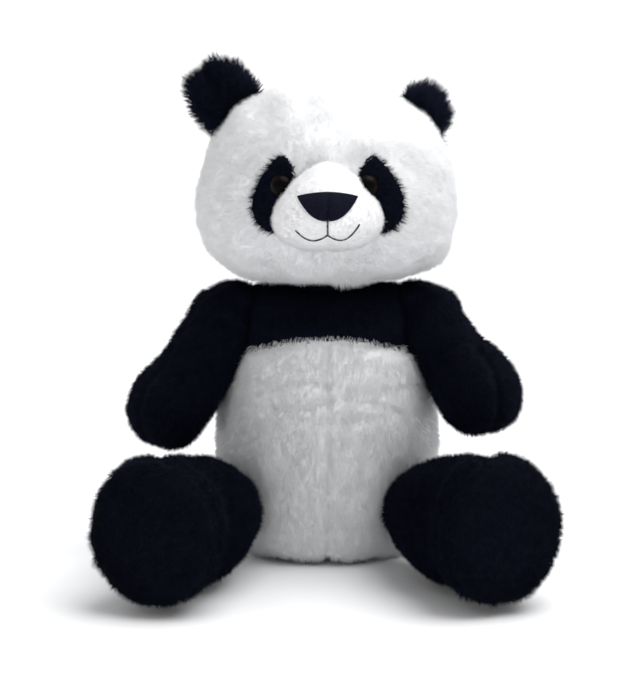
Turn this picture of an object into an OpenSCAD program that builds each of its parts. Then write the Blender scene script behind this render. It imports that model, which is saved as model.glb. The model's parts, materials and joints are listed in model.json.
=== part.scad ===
// Seated plush panda, in millimetres. +Z is up, the face looks along -Y, and +X is the viewer's right.
// The origin is the centre of the flat seat on the surface that the toy sits on.
// Every sewn fabric panel, stuffing core, eye, washer and stitch is its own solid. Limbs end in
// rounded roots that turn in matching hollows of the torso, as soft sewn limbs do.

/* [Torso] */
// Width of the belly at its widest
torso_w = 136; // [130:1:140]
// Depth of the torso from front to back
torso_depth = 112; // [106:1:116]
// Height of the belly's widest ring above the seat
torso_waist_z = 62; // [60:1:64]
// Height where the white belly meets the dark yoke
yoke_z = 130; // [126:1:132]

/* [Head] */
// Width of the head across the cheeks
head_w = 154; // [148:1:158]
// Depth of the head from face to nape
head_depth = 124; // [120:1:128]
// Height of the head's widest ring above the seat
cheek_z = 206; // [205:1:209]
// Height of the head above its widest ring
head_up = 74; // [70:1:74]
// Height of the head below its widest ring
head_down = 46; // [44:1:47]

/* [Face] */
// Width of the muzzle
muzzle_w = 62; // [60:1:66]
// How far the muzzle's tip stands in front of the neck
muzzle_reach = 98; // [94:1:102]
// Width of the nose
nose_w = 33; // [30:1:36]
// Distance between the eyes' centres
eye_span = 48; // [46:1:50]
// Diameter of the plastic eyes
eye_d = 12; // [10:0.5:13]

/* [Limbs] */
// Radius of the arm at the shoulder
shoulder_r = 22; // [20:0.5:22.5]
// Radius of the paw
paw_r = 26; // [24:0.5:26.5]
// Radius of the leg at its root
hip_r = 26; // [25:0.5:27]
// Height of the foot from heel to toe
foot_h = 88; // [84:1:88]
// Width of the foot across the sole
foot_w = 78; // [74:1:80]

/* [Fabric] */
// Thickness of the pile fabric, backing and pile together
skin_t = 2.4; // [2:0.1:2.6]
// Gap between a fabric panel and the stuffing behind it
stuffing_gap = 0.5; // [0.4:0.1:0.8]

/* [Hidden] */

white_fur = [0.93, 0.93, 0.95];
black_fur = [0.06, 0.06, 0.09];
filling = [0.97, 0.96, 0.92];
plastic = [0.12, 0.05, 0.02];
thread = [0.08, 0.08, 0.10];

SEGMENTS = 24;         // points round a fabric body
CORE_SEGMENTS = 16;    // points round a stuffing core
core_inset = skin_t + stuffing_gap;
clearance = 2;         // room round a limb's root in its hollow
WIDE = 400;            // larger than the toy, for cutting blocks
LEFT = 0;
RIGHT = 1;

function unit(v) = v / norm(v);
function steps(a, b, n) = [for (i = [0:n]) a + (b - a) * i / n];
function sign_power(v, p) = sign(v) * pow(abs(v), p);

// ---------------------------------------------------------------- solids from rows of points

// Rows of points become grids of triangles. A row whose points all meet is a pole.
function row_index(row, first) =
    let (pole = norm(row[0] - row[1]) < 1e-6)
    [for (j = [0:len(row) - 1]) first + (pole ? 0 : j)];
function rows_index(rows, first) = [for (i = [0:len(rows) - 1]) row_index(rows[i], first + i * len(rows[0]))];
function kept(faces) = [for (f = faces) if (f[0] != f[1] && f[1] != f[2] && f[0] != f[2]) f];
function strip(a, b) =
    kept([for (j = [0:len(a) - 2], half = [0, 1]) half == 0 ? [a[j], a[j + 1], b[j + 1]] : [a[j], b[j + 1], b[j]]]);
function turned(faces) = [for (f = faces) [f[2], f[1], f[0]]];
function grid(index) = [for (i = [0:len(index) - 2]) each strip(index[i], index[i + 1])];
function column(index, j) = [for (row = index) row[j]];

// A fabric panel between an outer and an inner sheet of points with the same rows and columns.
module panel(outer, inner) {
    cols = len(outer[0]);
    count = len(outer) * cols;
    o = rows_index(outer, 0);
    i = rows_index(inner, count);
    last = len(o) - 1;
    polyhedron([for (row = concat(outer, inner), p = row) p], concat(
        turned(grid(o)),
        grid(i),
        strip(o[0], i[0]),
        turned(strip(o[last], i[last])),
        turned(strip(column(o, 0), column(i, 0))),
        strip(column(o, cols - 1), column(i, cols - 1))));
}

// A closed solid through rings of points, with flat ends.
module ring_solid(rings) {
    n = len(rings[0]);
    m = len(rings);
    index = [for (i = [0:m - 1]) [for (j = [0:n]) i * n + j % n]];
    polyhedron([for (ring = rings, p = ring) p], concat(
        turned(grid(index)),
        [[for (j = [0:n - 1]) j]],
        [[for (j = [n - 1:-1:0]) (m - 1) * n + j]]));
}

// A round panel like a bowl. Its first rings are the rim, and its last rings meet at a pole.
module bowl(outer, inner) {
    n = len(outer[0]);
    last = len(outer) - 1;
    function ring_index(first) = [for (i = [0:last]) [for (j = [0:n]) first + i * n + (i == last ? 0 : j % n)]];
    o = ring_index(0);
    i = ring_index((last + 1) * n);
    polyhedron([for (ring = concat(outer, inner), p = ring) p], concat(turned(grid(o)), grid(i), strip(o[0], i[0])));
}

// ---------------------------------------------------------------- rounded bodies

// A body is [centre, half width, front, back, up, down, roundness up, roundness down, roundness round].
// Roundness 2 is an ellipse, and more is squarer.
torso = [[0, 4, torso_waist_z], torso_w / 2, torso_depth / 2 + 1, torso_depth / 2 - 1,
         109, 84, 2.3, 2.3, 2.1];
head = [[0, -4, cheek_z], head_w / 2, head_depth / 2, head_depth / 2, head_up, head_down,
        2.25, 2.9, 2.1];
muzzle = [[0, -64, 205], muzzle_w / 2, muzzle_reach - 64, 30, 32, 17, 1.55, 2.3, 2.1];

// The point of a body at azimuth az, turned about +Z from +X, and elevation el, grown outwards.
function body_at(b, az, el, grow = 0) =
    let (n = el >= 0 ? b[6] : b[7],
         rise = (el >= 0 ? b[4] : b[5]) + grow,
         level = el > 89.9 ? 0 : pow(cos(el), 2 / n),
         deep = (sin(az) < 0 ? b[2] : b[3]) + grow)
    b[0] + [(b[1] + grow) * level * sign_power(cos(az), 2 / b[8]),
            deep * level * sign_power(sin(az), 2 / b[8]),
            rise * sign_power(sin(el), 2 / n)];

// The elevation at which a body's surface stands at height z.
function el_of_z(b, z, grow = 0) =
    let (up = z >= b[0][2],
         share = abs(z - b[0][2]) / ((up ? b[4] : b[5]) + grow))
    (up ? 1 : -1) * asin(pow(share, (up ? b[6] : b[7]) / 2));

function body_rows(b, azs, els, grow) = [for (el = els) [for (az = azs) body_at(b, az, el, grow)]];

// The part of a body's skin between azimuths and elevations.
module body_panel(b, azs, els) panel(body_rows(b, azs, els, 0), body_rows(b, azs, els, -skin_t));

// A body as one solid, through rings at the elevations els.
module form(b, els, grow = 0, n = SEGMENTS) ring_solid(body_rows(b, [for (j = [0:n - 1]) 360 * j / n], els, grow));
module body_solid(b, grow = 0, el0 = -86, el1 = 86, n = SEGMENTS, m = 12) form(b, steps(el0, el1, m), grow, n);

// A round ball of flat faces.
module ball(r, n = CORE_SEGMENTS, m = 9) body_solid([[0, 0, 0], r, r, r, r, r, 2, 2, 2], 0, -86, 86, n, m);

// ---------------------------------------------------------------- limbs

// A limb is a list of rings, each [centre, direction, half width, half height].
// The ring of a limb, with its points from angle a0 to a1 about the direction.
function limb_ring(ring, inset, a0, a1, n) =
    let (d = unit(ring[1]), side = unit(cross([0, 0, 1], d)), up = cross(d, side))
    [for (a = steps(a0, a1, n))
        ring[0] + max(0, ring[2] - inset) * cos(a) * side + max(0, ring[3] - inset) * sin(a) * up];
function limb_rows(rings, inset, a0, a1, n) = [for (ring = rings) limb_ring(ring, inset, a0, a1, n)];

// Half of a limb's sleeve. The inner sheet's rings stop short of the outer's at the closed tip.
module limb_panel(outer, inner, a0, a1, n = 9) panel(limb_rows(outer, 0, a0, a1, n), limb_rows(inner, skin_t, a0, a1, n));
module limb_solid(rings, inset, n = 18) ring_solid(limb_rows(rings, inset, 180 / n, 360 - 180 / n, n - 1));

// Rings of a ball of radius r at c, from angle t0 to t1 along direction d.
function ball_rings(c, d, r, ts) = [for (t = ts) [c + unit(d) * r * sin(t), d, r * cos(t), r * cos(t)]];

// ---------------------------------------------------------------- joints and limb lines

neck = [0, 0, 162];
neck_r = 24;
shoulder = [[-54, -3, 143], [54, -3, 143]];          // left, right
elbow = [[-77, -13, 109], [75, -10, 114]];
paw = [[-92, -28, 91], [88, -38, 101]];
hip = [[-60, -40, 34], [54, -40, 34]];
foot = [[-90, -130, 44.5], [89, -126, 44.5]];
sole_turn = [16, 26];                               // degrees each sole looks outwards
hip_room_r = hip_r + 6;     // the thigh widens, so its hollow is larger than its root

root_ts = [-80, -60, -35, -10];
root_slack = 4;              // the arm's root is this much shorter than its hollow, under the chin
function grown(rings, by) = [for (ring = rings) [ring[0], ring[1], ring[2] + by, ring[3] + by]];

// The space round each limb in the torso, as one rounded solid for each limb.
module limb_rooms()
    for (side = [LEFT, RIGHT]) {
        arm_way = elbow[side] - shoulder[side];
        leg_way = foot[side] - hip[side];
        limb_solid(concat(ball_rings(shoulder[side], arm_way, shoulder_r + clearance, root_ts),
                          grown(part(arm_rings(side, paw_r, arm_root(side)), 1, 5), clearance)), 0);
        limb_solid(concat(ball_rings(hip[side], leg_way, hip_room_r, root_ts),
                          [[hip[side] + leg_way * 0.14, leg_way, hip_room_r, hip_room_r]],
                          grown(part(leg_rings(side, 0), 2, 4), clearance)), 0);
    }

// ---------------------------------------------------------------- torso

seat_el = el_of_z(torso, 0);
yoke_el = el_of_z(torso, yoke_z);
neck_el = 58;
pouch_top_z = 20;

belly_els = steps(seat_el, yoke_el, 7);
yoke_els = steps(yoke_el, neck_el, 3);

// The torso's whole outer form, grown outwards.
module torso_form(grow) form(torso, concat(belly_els, part(yoke_els, 1, 3)), grow);

module torso_panel(az0, az1, els)
    difference() {
        body_panel(torso, steps(az0, az1, (az1 - az0) / 15), els);
        limb_rooms();
    }

module belly_left() color(white_fur) torso_panel(180, 270, belly_els);
module belly_right() color(white_fur) torso_panel(270, 360, belly_els);
module back_left() color(white_fur) torso_panel(90, 180, belly_els);
module back_right() color(white_fur) torso_panel(0, 90, belly_els);
module yoke_front() color(black_fur) torso_panel(180, 360, yoke_els);
module yoke_back() color(black_fur) torso_panel(0, 180, yoke_els);

// The flat round panel that the toy sits on.
seat_inset = -skin_t - 0.3;
module seat_panel()
    color(white_fur) difference() {
        body_solid(torso, seat_inset, el_of_z(torso, 0, seat_inset), el_of_z(torso, skin_t, seat_inset), SEGMENTS, 1);
        limb_rooms();
    }

module torso_stuffing()
    color(filling) difference() {
        form(torso, concat([el_of_z(torso, pouch_top_z + 1, -core_inset)], part(belly_els, 2, 7), part(yoke_els, 1, 3)),
             -core_inset);
        limb_rooms();
        translate(neck) ball(neck_r + clearance);
    }

// A flat bag of plastic pellets that keeps the toy sitting upright.
pouch_half_h = (pouch_top_z - skin_t - 0.6) / 2;
pouch = [[0, 14, skin_t + 0.6 + pouch_half_h], 34, 26, 28, pouch_half_h, pouch_half_h, 2.6, 2.6, 2.2];
module pellet_pouch() color([0.85, 0.84, 0.8]) body_solid(pouch, 0, -80, 80, CORE_SEGMENTS, 6);

tail_at = [0, 60, 34];
tail_r = 15;

module tail()
    color(white_fur) difference() {
        translate(tail_at) ball(tail_r);
        torso_form(0.3);
    }

// Ladder stitches that close the filling hole in the middle of the back.
stitch_r = 0.5;
module closing_stitches()
    color(white_fur * 0.9) for (z = [74:5:109]) {
        p = body_at(torso, 90, el_of_z(torso, z), 0);
        translate([-2.5, p[1] + stitch_r + 0.3, z]) rotate([0, 90, 0]) cylinder(r = stitch_r, h = 5, $fn = 8);
    }

// A blank folded ribbon sewn into the left side of the seat seam, at the back.
module care_label() {
    p = body_at(torso, 125, el_of_z(torso, 14), 0);
    color([0.96, 0.96, 0.96]) translate(p) rotate([0, 0, 35]) translate([-7, 3, -8]) cube([14, 0.8, 18]);
}

// ---------------------------------------------------------------- neck and head

module neck_stuffing() color(filling) translate(neck) ball(neck_r, SEGMENTS, 12);

nape_el = -66;
jaw_el = -10;
jaw_els = steps(nape_el, jaw_el, 5);
crown_els = steps(jaw_el, 90, 7);

// The head's whole outer form, grown outwards.
module head_form(grow, to = 6) form(head, concat(jaw_els, part(crown_els, 1, to), to == 6 ? [86] : []), grow);

module head_panel(az0, az1, els) body_panel(head, steps(az0, az1, (az1 - az0) / 15), els);

module chin_left() color(white_fur) head_panel(150, 270, jaw_els);
module chin_right() color(white_fur) head_panel(270, 390, jaw_els);
module forehead() color(white_fur) head_panel(255, 285, crown_els);
module cheek_left()
    color(white_fur) difference() {
        head_panel(150, 255, crown_els);
        eye_shank_hole(LEFT);
    }
module cheek_right()
    color(white_fur) difference() {
        head_panel(285, 390, crown_els);
        eye_shank_hole(RIGHT);
    }
module head_back() color(white_fur) head_panel(30, 150, concat(jaw_els, [for (i = [1:7]) crown_els[i]]));

module head_stuffing()
    color(filling) difference() {
        head_form(-core_inset);
        translate(neck) ball(neck_r + clearance);
        for (side = [LEFT, RIGHT]) eye_pocket(side);
    }

module muzzle_skin()
    color(white_fur) difference() {
        body_solid(muzzle, 0);
        body_solid(muzzle, -1.6);
        head_form(0.3);
        for (side = [LEFT, RIGHT]) eye_room(side);
    }

module muzzle_stuffing()
    color(filling) difference() {
        body_solid(muzzle, -2.1, n = CORE_SEGMENTS, m = 8);
        head_form(0.3);
        for (side = [LEFT, RIGHT]) eye_room(side);
    }

// A padded nose, wide at the top and pointed below, that lies on the slope of the muzzle.
nose_z = 214;
nose_drop = 7;
nose_r = 3;
module nose()
    color(black_fur) difference() {
        hull() {
            for (x = [-1, 1]) translate(muzzle_front(x * (nose_w / 2 - nose_r), nose_z + 4)) sphere(r = nose_r, $fn = 16);
            translate(muzzle_front(0, nose_z + 3)) sphere(r = nose_r + 2, $fn = 16);
            translate(muzzle_front(0, nose_z - nose_drop + nose_r)) sphere(r = nose_r, $fn = 16);
        }
        body_solid(muzzle, 0.2);
    }

// The sewn mouth: a short upright line and a smile, as stitches that lie on the muzzle.
mouth_z = 198.5;
smile_half = 17;
smile_dip = 3.5;
mouth_r = 0.7;
function muzzle_front(x, z) =
    let (el = el_of_z(muzzle, z),
         level = pow(cos(el), 2 / (z >= 206 ? muzzle[6] : muzzle[7])),
         across = min(0.98, abs(x) / (muzzle[1] * level)))
    [x, muzzle[0][1] - muzzle[2] * level * pow(1 - pow(across, muzzle[8]), 1 / muzzle[8]) - mouth_r - 0.3, z];
function smile_z(x) = let (u = abs(x) / smile_half) mouth_z - smile_dip * sin(180 * min(1, u * 0.85)) + 7 * u * u;

module stitch(p, q)
    translate(p) rotate([0, acos(unit(q - p)[2]), atan2((q - p)[1], (q - p)[0])])
        cylinder(r = mouth_r, h = norm(q - p) * 0.86, $fn = 8);

module mouth_stitches() {
    xs = steps(-smile_half, smile_half, 10);
    zs = steps(mouth_z, nose_z - nose_drop - 2.5, 3);
    color(thread) {
        for (i = [0:9]) stitch(muzzle_front(xs[i], smile_z(xs[i])), muzzle_front(xs[i + 1], smile_z(xs[i + 1])));
        for (i = [0:2]) stitch(muzzle_front(0, zs[i] + 1.6), muzzle_front(0, zs[i + 1] + 1.6));
    }
}

// ---------------------------------------------------------------- eyes

eye_z = 223;
patch_z = 218;
patch_x = 28;
patch_tall = 44;
patch_wide = 27;
patch_slant = 9;
shank_r = 1.6;
shank_l = 13;
washer_r = 6.5;
washer_t = 1.6;

function eye_at(side) = [(side == LEFT ? -1 : 1) * eye_span / 2 - 1.6, -60.5, eye_z];
function eye_turn(side) = (side == LEFT ? -1 : 1) * 18;

module on_eye(side) translate(eye_at(side)) rotate([-8, 0, eye_turn(side)]) rotate([90, 0, 0]) children();

// Local +Z looks out of the face.
module eye_shank_hole(side) on_eye(side) translate([0, 0, -shank_l - 8]) cylinder(r = shank_r + 0.15, h = 40, $fn = 12);
module eye_pocket(side) on_eye(side) translate([0, 0, -shank_l - 1.5]) cylinder(r = washer_r + 0.6, h = 40, $fn = 12);

// Room for an eye's dome beside the muzzle.
module eye_room(side) on_eye(side) cylinder(r = eye_d / 2 + 0.4, h = 40, $fn = 24);

module eye_dome(side)
    on_eye(side) {
        translate([0, 0, 1.9]) intersection() {
            translate([0, 0, -3]) sphere(r = eye_d / 2 + 0.8, $fn = 48);
            cylinder(r = eye_d / 2, h = 20, $fn = 48);
        }
        translate([0, 0, -shank_l]) cylinder(r = shank_r, h = shank_l + 2.5, $fn = 24);
    }

module eye_left() color(plastic) eye_dome(LEFT);
module eye_right() color(plastic) eye_dome(RIGHT);

// The locking washer behind the fabric, with a running hole for the shank.
module eye_washer(side)
    on_eye(side) translate([0, 0, -shank_l + 2]) difference() {
        cylinder(r = washer_r, h = washer_t, $fn = 32);
        translate([0, 0, -1]) cylinder(r = shank_r + 0.1, h = washer_t + 2, $fn = 24);
    }
module eye_washer_left() color([0.9, 0.9, 0.9]) eye_washer(LEFT);
module eye_washer_right() color([0.9, 0.9, 0.9]) eye_washer(RIGHT);

// A drop-shaped dark patch laid over the face, narrow at the top.
module patch_outline()
    polygon([for (t = [0:20:340])
        [patch_wide / 2 * sin(t) * (1 - 0.35 * cos(t)), patch_tall / 2 * cos(t)]]);

module eye_patch(side) {
    sense = side == LEFT ? -1 : 1;
    difference() {
        intersection() {
            difference() {
                head_form(1.8, 5);
                head_form(0.3);
            }
            translate([sense * patch_x, -20, patch_z]) rotate([90, 0, 0]) rotate([0, 0, sense * patch_slant])
                linear_extrude(height = 80) patch_outline();
        }
        body_solid(muzzle, 0.2);
        eye_room(side);
        eye_shank_hole(side);
    }
}
module eye_patch_left() color(black_fur) eye_patch(LEFT);
module eye_patch_right() color(black_fur) eye_patch(RIGHT);

// ---------------------------------------------------------------- ears

ear_half_w = 21.5;
ear_t = 6;
ear_root = [[-47, 1, 255], [43, 0, 241]];
ear_roll = [-44, 46];      // lean outwards from upright
ear_yaw = [-6, 20];        // how far the ear's hollow looks outwards
ear_back = [6, 26];        // lean backwards
ear_lift = 2.2;            // room under an ear, so that it can flop
ear = [[0, 0, 18.5], ear_half_w, ear_t, ear_t, 25, 24, 2.2, 2.2, 2.4];

// In its own frame an ear stands up from its root line along X, with its front at -Y.
module on_ear(side)
    translate(ear_root[side]) rotate([0, ear_roll[side], 0]) rotate([-ear_back[side], 0, ear_yaw[side]]) children();
module ear_half(side, front)
    difference() {
        on_ear(side) intersection() {
            body_solid(ear, 0, -50, 86, SEGMENTS, 9);
            translate([-WIDE / 2, front ? -WIDE - 0.05 : 0.05, -WIDE / 2]) cube(WIDE);
        }
        head_form(ear_lift);
    }
module ear_left_front() color(black_fur) ear_half(LEFT, true);
module ear_left_back() color(black_fur) ear_half(LEFT, false);
module ear_right_front() color(black_fur) ear_half(RIGHT, true);
module ear_right_back() color(black_fur) ear_half(RIGHT, false);

// ---------------------------------------------------------------- arms

elbow_r = 22.6;
tip_ts = [15, 35, 55, 75, 90];

// Rings of an arm from its root to its paw, with the tip of a paw of radius r.
function arm_rings(side, r, root) =
    let (upper = elbow[side] - shoulder[side], lower = paw[side] - elbow[side])
    concat(root,
           [[shoulder[side] + upper * 0.32, upper, 22.8, 22.8],
            [shoulder[side] + upper * 0.66, upper, 22.6, 22.6],
            [elbow[side], upper + lower, elbow_r, elbow_r],
            [elbow[side] + lower * 0.5, lower, 24.8, 24.8],
            [paw[side], lower, paw_r, paw_r]],
           ball_rings(paw[side], lower, r, tip_ts));
function arm_root(side) = [[shoulder[side], elbow[side] - shoulder[side], shoulder_r, shoulder_r]];

module arm_panel(side, a0)
    color(black_fur) limb_panel(arm_rings(side, paw_r, arm_root(side)), arm_tip_inset(side), a0, a0 + 180);

// The inner sheet's tip keeps its rings at the fabric's thickness inside the outer tip.
function arm_tip_inset(side) =
    [for (ring = arm_rings(side, paw_r - skin_t, arm_root(side)), i = [0])
        ring[2] > paw_r - 0.01 || norm(ring[0] - paw[side]) < 0.01 || !in_tip(side, ring) ? ring
        : [ring[0], ring[1], ring[2] + skin_t, ring[3] + skin_t]];
function in_tip(side, ring) = (ring[0] - paw[side]) * unit(paw[side] - elbow[side]) > 1;

module arm_stuffing(side)
    color(filling) limb_solid(
        [for (ring = arm_rings(side, paw_r - core_inset,
              ball_rings(shoulder[side], elbow[side] - shoulder[side], shoulder_r - root_slack, root_ts)))
            in_tip(side, ring) ? [ring[0], ring[1], ring[2] + core_inset + 0.4, ring[3] + core_inset + 0.4] : ring],
        core_inset);

module arm_left_front() arm_panel(LEFT, 270);
module arm_left_back() arm_panel(LEFT, 90);
module arm_left_stuffing() arm_stuffing(LEFT);
module arm_right_front() arm_panel(RIGHT, 90);
module arm_right_back() arm_panel(RIGHT, 270);
module arm_right_stuffing() arm_stuffing(RIGHT);

// ---------------------------------------------------------------- legs and feet

// Share of the way from hip to foot, then half width and half height there.
leg_table = [[0, hip_r, hip_r], [0.14, 28.5, 28.5], [0.32, 34, 34.5], [0.52, 36, 39], [0.7, 34, 37],
             [0.84, 0.42 * foot_w, 0.39 * foot_h], [1, 0.5 * foot_w, 0.5 * foot_h]];
// Distance in front of the foot's middle, then shares of the foot's width and height.
sole_table = [[8, 0.5, 0.5], [15, 0.475, 0.475], [20, 0.42, 0.42], [24, 0.31, 0.31], [26, 0.16, 0.16], [26.5, 0, 0]];
SEAM_RING = 7;         // the ring where the sole is sewn on

function foot_way(side) = [sin(sole_turn[side]) * (side == LEFT ? -1 : 1), -cos(sole_turn[side]), 0.06];
function leg_rings(side, inset) =
    let (way = foot[side] - hip[side])
    concat(
        [for (row = leg_table)
            [hip[side] + way * row[0], way * (1 - row[0]) + foot_way(side) * norm(way) * row[0], row[1], row[2]]],
        [for (row = sole_table)
            [foot[side] + foot_way(side) * (row[0] - (row[0] > 8 ? inset : 0)), foot_way(side),
             row[1] > 0 ? row[1] * foot_w : inset, row[2] > 0 ? row[2] * foot_h : inset]]);

function part(list, from, to) = [for (i = [from:to]) list[i]];
LAST_RING = len(leg_table) + len(sole_table) - 1;

module leg_panel(side, a0)
    color(black_fur) limb_panel(part(leg_rings(side, 0), 0, SEAM_RING), part(leg_rings(side, skin_t), 0, SEAM_RING),
                                a0, a0 + 180);

module leg_sole(side)
    color(black_fur) bowl(
        limb_rows(part(leg_rings(side, 0), SEAM_RING, LAST_RING), 0, 0, 342, 19),
        limb_rows(part(leg_rings(side, skin_t), SEAM_RING, LAST_RING), skin_t, 0, 342, 19));

module leg_stuffing(side)
    color(filling) limb_solid(
        concat(ball_rings(hip[side], foot[side] - hip[side], hip_r, root_ts),
               part(leg_rings(side, core_inset), 1, LAST_RING - 1)),
        core_inset);

module leg_left_inner() leg_panel(LEFT, 270);
module leg_left_outer() leg_panel(LEFT, 90);
module leg_left_sole() leg_sole(LEFT);
module leg_left_stuffing() leg_stuffing(LEFT);
module leg_right_inner() leg_panel(RIGHT, 90);
module leg_right_outer() leg_panel(RIGHT, 270);
module leg_right_sole() leg_sole(RIGHT);
module leg_right_stuffing() leg_stuffing(RIGHT);

// ---------------------------------------------------------------- nodes

belly_left();
belly_right();
back_left();
back_right();
yoke_front();
yoke_back();
seat_panel();
torso_stuffing();
pellet_pouch();
tail();
closing_stitches();
care_label();
neck_stuffing();
chin_left();
chin_right();
forehead();
cheek_left();
cheek_right();
head_back();
head_stuffing();
muzzle_skin();
muzzle_stuffing();
nose();
mouth_stitches();
eye_patch_left();
eye_patch_right();
eye_left();
eye_right();
eye_washer_left();
eye_washer_right();
ear_left_front();
ear_left_back();
ear_right_front();
ear_right_back();
arm_left_front();
arm_left_back();
arm_left_stuffing();
arm_right_front();
arm_right_back();
arm_right_stuffing();
leg_left_inner();
leg_left_outer();
leg_left_sole();
leg_left_stuffing();
leg_right_inner();
leg_right_outer();
leg_right_sole();
leg_right_stuffing();
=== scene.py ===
"""Looks of the plush panda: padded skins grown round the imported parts, and the pile that stands on them.

All lengths are metres in the CAD frame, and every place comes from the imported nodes.
"""

import json
import math
from collections import namedtuple

import bmesh
import bpy
import numpy as np
from mathutils import Vector
from mathutils.bvhtree import BVHTree
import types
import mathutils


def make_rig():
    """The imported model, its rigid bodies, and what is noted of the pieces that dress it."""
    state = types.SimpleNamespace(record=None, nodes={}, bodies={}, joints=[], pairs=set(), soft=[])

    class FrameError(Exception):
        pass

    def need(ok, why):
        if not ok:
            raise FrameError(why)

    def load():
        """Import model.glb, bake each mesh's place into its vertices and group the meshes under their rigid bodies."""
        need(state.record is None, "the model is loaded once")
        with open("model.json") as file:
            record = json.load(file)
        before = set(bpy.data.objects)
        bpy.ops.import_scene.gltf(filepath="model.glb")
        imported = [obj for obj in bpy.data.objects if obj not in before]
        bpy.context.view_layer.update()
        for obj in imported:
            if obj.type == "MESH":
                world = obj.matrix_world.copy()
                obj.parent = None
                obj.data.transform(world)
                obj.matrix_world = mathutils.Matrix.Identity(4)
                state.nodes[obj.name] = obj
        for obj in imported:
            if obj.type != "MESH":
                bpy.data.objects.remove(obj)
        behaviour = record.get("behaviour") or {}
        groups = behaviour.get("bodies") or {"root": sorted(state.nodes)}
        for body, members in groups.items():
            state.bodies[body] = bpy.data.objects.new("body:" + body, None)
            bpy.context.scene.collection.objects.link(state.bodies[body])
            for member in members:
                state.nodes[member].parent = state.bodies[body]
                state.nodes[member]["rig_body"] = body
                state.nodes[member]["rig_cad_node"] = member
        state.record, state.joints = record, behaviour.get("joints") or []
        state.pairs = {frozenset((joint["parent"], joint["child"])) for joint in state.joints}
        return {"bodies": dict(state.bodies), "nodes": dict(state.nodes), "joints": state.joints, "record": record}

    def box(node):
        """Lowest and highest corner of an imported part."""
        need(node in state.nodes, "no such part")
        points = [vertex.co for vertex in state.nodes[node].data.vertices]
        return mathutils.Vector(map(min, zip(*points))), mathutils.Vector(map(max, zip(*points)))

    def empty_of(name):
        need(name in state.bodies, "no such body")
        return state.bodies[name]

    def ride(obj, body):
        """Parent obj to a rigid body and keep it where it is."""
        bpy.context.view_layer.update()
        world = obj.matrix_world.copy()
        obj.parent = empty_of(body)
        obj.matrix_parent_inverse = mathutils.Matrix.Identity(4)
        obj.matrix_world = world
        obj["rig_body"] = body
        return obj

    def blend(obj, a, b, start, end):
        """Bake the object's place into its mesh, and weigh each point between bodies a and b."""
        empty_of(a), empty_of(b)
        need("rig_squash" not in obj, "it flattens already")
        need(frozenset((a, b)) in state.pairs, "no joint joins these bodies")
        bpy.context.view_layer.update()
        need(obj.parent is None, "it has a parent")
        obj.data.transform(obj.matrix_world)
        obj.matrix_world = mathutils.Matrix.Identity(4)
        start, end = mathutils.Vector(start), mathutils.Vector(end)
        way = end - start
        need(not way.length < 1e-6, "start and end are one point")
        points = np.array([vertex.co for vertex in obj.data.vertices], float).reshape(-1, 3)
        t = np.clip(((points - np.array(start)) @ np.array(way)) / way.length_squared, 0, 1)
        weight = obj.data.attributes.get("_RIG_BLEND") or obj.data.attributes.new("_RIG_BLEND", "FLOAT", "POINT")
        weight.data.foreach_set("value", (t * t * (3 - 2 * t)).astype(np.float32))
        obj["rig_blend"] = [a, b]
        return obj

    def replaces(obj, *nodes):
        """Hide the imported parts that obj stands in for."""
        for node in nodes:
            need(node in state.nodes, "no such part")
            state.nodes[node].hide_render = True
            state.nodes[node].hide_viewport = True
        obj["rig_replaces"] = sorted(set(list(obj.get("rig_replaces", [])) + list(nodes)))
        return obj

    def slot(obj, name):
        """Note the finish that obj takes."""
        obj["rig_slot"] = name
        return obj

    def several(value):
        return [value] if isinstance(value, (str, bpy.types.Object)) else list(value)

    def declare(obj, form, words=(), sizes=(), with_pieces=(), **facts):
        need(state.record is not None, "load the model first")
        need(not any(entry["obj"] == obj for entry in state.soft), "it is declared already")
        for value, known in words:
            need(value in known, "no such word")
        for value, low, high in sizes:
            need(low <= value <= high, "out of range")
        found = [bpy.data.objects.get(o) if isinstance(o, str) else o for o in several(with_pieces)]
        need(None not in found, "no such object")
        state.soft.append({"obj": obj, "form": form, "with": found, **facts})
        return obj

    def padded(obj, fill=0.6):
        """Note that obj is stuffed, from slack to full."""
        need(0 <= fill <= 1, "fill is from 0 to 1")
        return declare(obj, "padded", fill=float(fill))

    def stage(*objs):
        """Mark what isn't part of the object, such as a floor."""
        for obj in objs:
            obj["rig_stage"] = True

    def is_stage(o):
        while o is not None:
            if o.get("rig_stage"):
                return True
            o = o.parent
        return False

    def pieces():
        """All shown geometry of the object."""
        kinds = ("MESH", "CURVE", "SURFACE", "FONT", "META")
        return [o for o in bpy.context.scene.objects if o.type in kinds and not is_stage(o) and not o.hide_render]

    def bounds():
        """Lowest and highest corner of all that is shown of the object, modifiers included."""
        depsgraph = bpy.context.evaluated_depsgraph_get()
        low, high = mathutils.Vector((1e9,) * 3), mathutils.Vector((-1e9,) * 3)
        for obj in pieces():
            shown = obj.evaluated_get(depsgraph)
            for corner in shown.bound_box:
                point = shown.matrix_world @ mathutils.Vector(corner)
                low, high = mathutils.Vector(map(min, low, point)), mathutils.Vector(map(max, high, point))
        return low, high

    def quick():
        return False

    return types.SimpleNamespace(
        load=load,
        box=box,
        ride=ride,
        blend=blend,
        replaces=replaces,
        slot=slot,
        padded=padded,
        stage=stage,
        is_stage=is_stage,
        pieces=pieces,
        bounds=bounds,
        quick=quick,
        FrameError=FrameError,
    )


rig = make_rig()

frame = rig.load()
cad_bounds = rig.bounds()

MM = 0.001
UP = np.array([0.0, 0.0, 1.0])
FORWARD = np.array([0.0, -1.0, 0.0])
SIDES = ("left", "right")

# ---------------------------------------------------------------- sizes taken from the frame

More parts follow.
